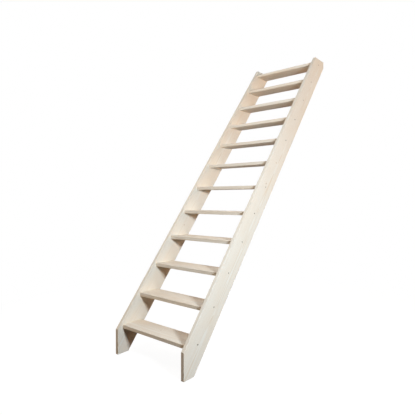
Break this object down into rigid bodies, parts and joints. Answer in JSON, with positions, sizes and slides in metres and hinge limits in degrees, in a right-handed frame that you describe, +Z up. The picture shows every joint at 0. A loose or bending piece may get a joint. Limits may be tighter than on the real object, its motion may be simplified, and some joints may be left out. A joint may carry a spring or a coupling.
{
  "type": "loft ladder",
  "caption": "Fixed wooden loft ladder: open treads housed in raking stringers that are cut plumb and level at foot and top.",
  "frame": {"origin": "centre of the left stringer's top plumb-cut face, which bears on the loft opening's trimmer", "axes": "+X runs level across the ladder from the left stringer to the right one, as a climber sees them; +Y runs level towards the loft, out of the top plumb faces; +Z is up"},
  "size_m": [0.71, 2.1639, 2.628],
  "materials": {
    "stringer_wood": "sanded raw softwood, uncoated",
    "tread_wood": "sanded raw softwood, uncoated"
  },
  "bodies": {
    "root": {"left_stringer": "stringer_wood", "right_stringer": "stringer_wood", "tread_01": "tread_wood", "tread_02": "tread_wood", "tread_03": "tread_wood", "tread_04": "tread_wood", "tread_05": "tread_wood", "tread_06": "tread_wood", "tread_07": "tread_wood", "tread_08": "tread_wood", "tread_09": "tread_wood", "tread_10": "tread_wood", "tread_11": "tread_wood", "tread_12": "tread_wood"}
  },
  "joints": []
}
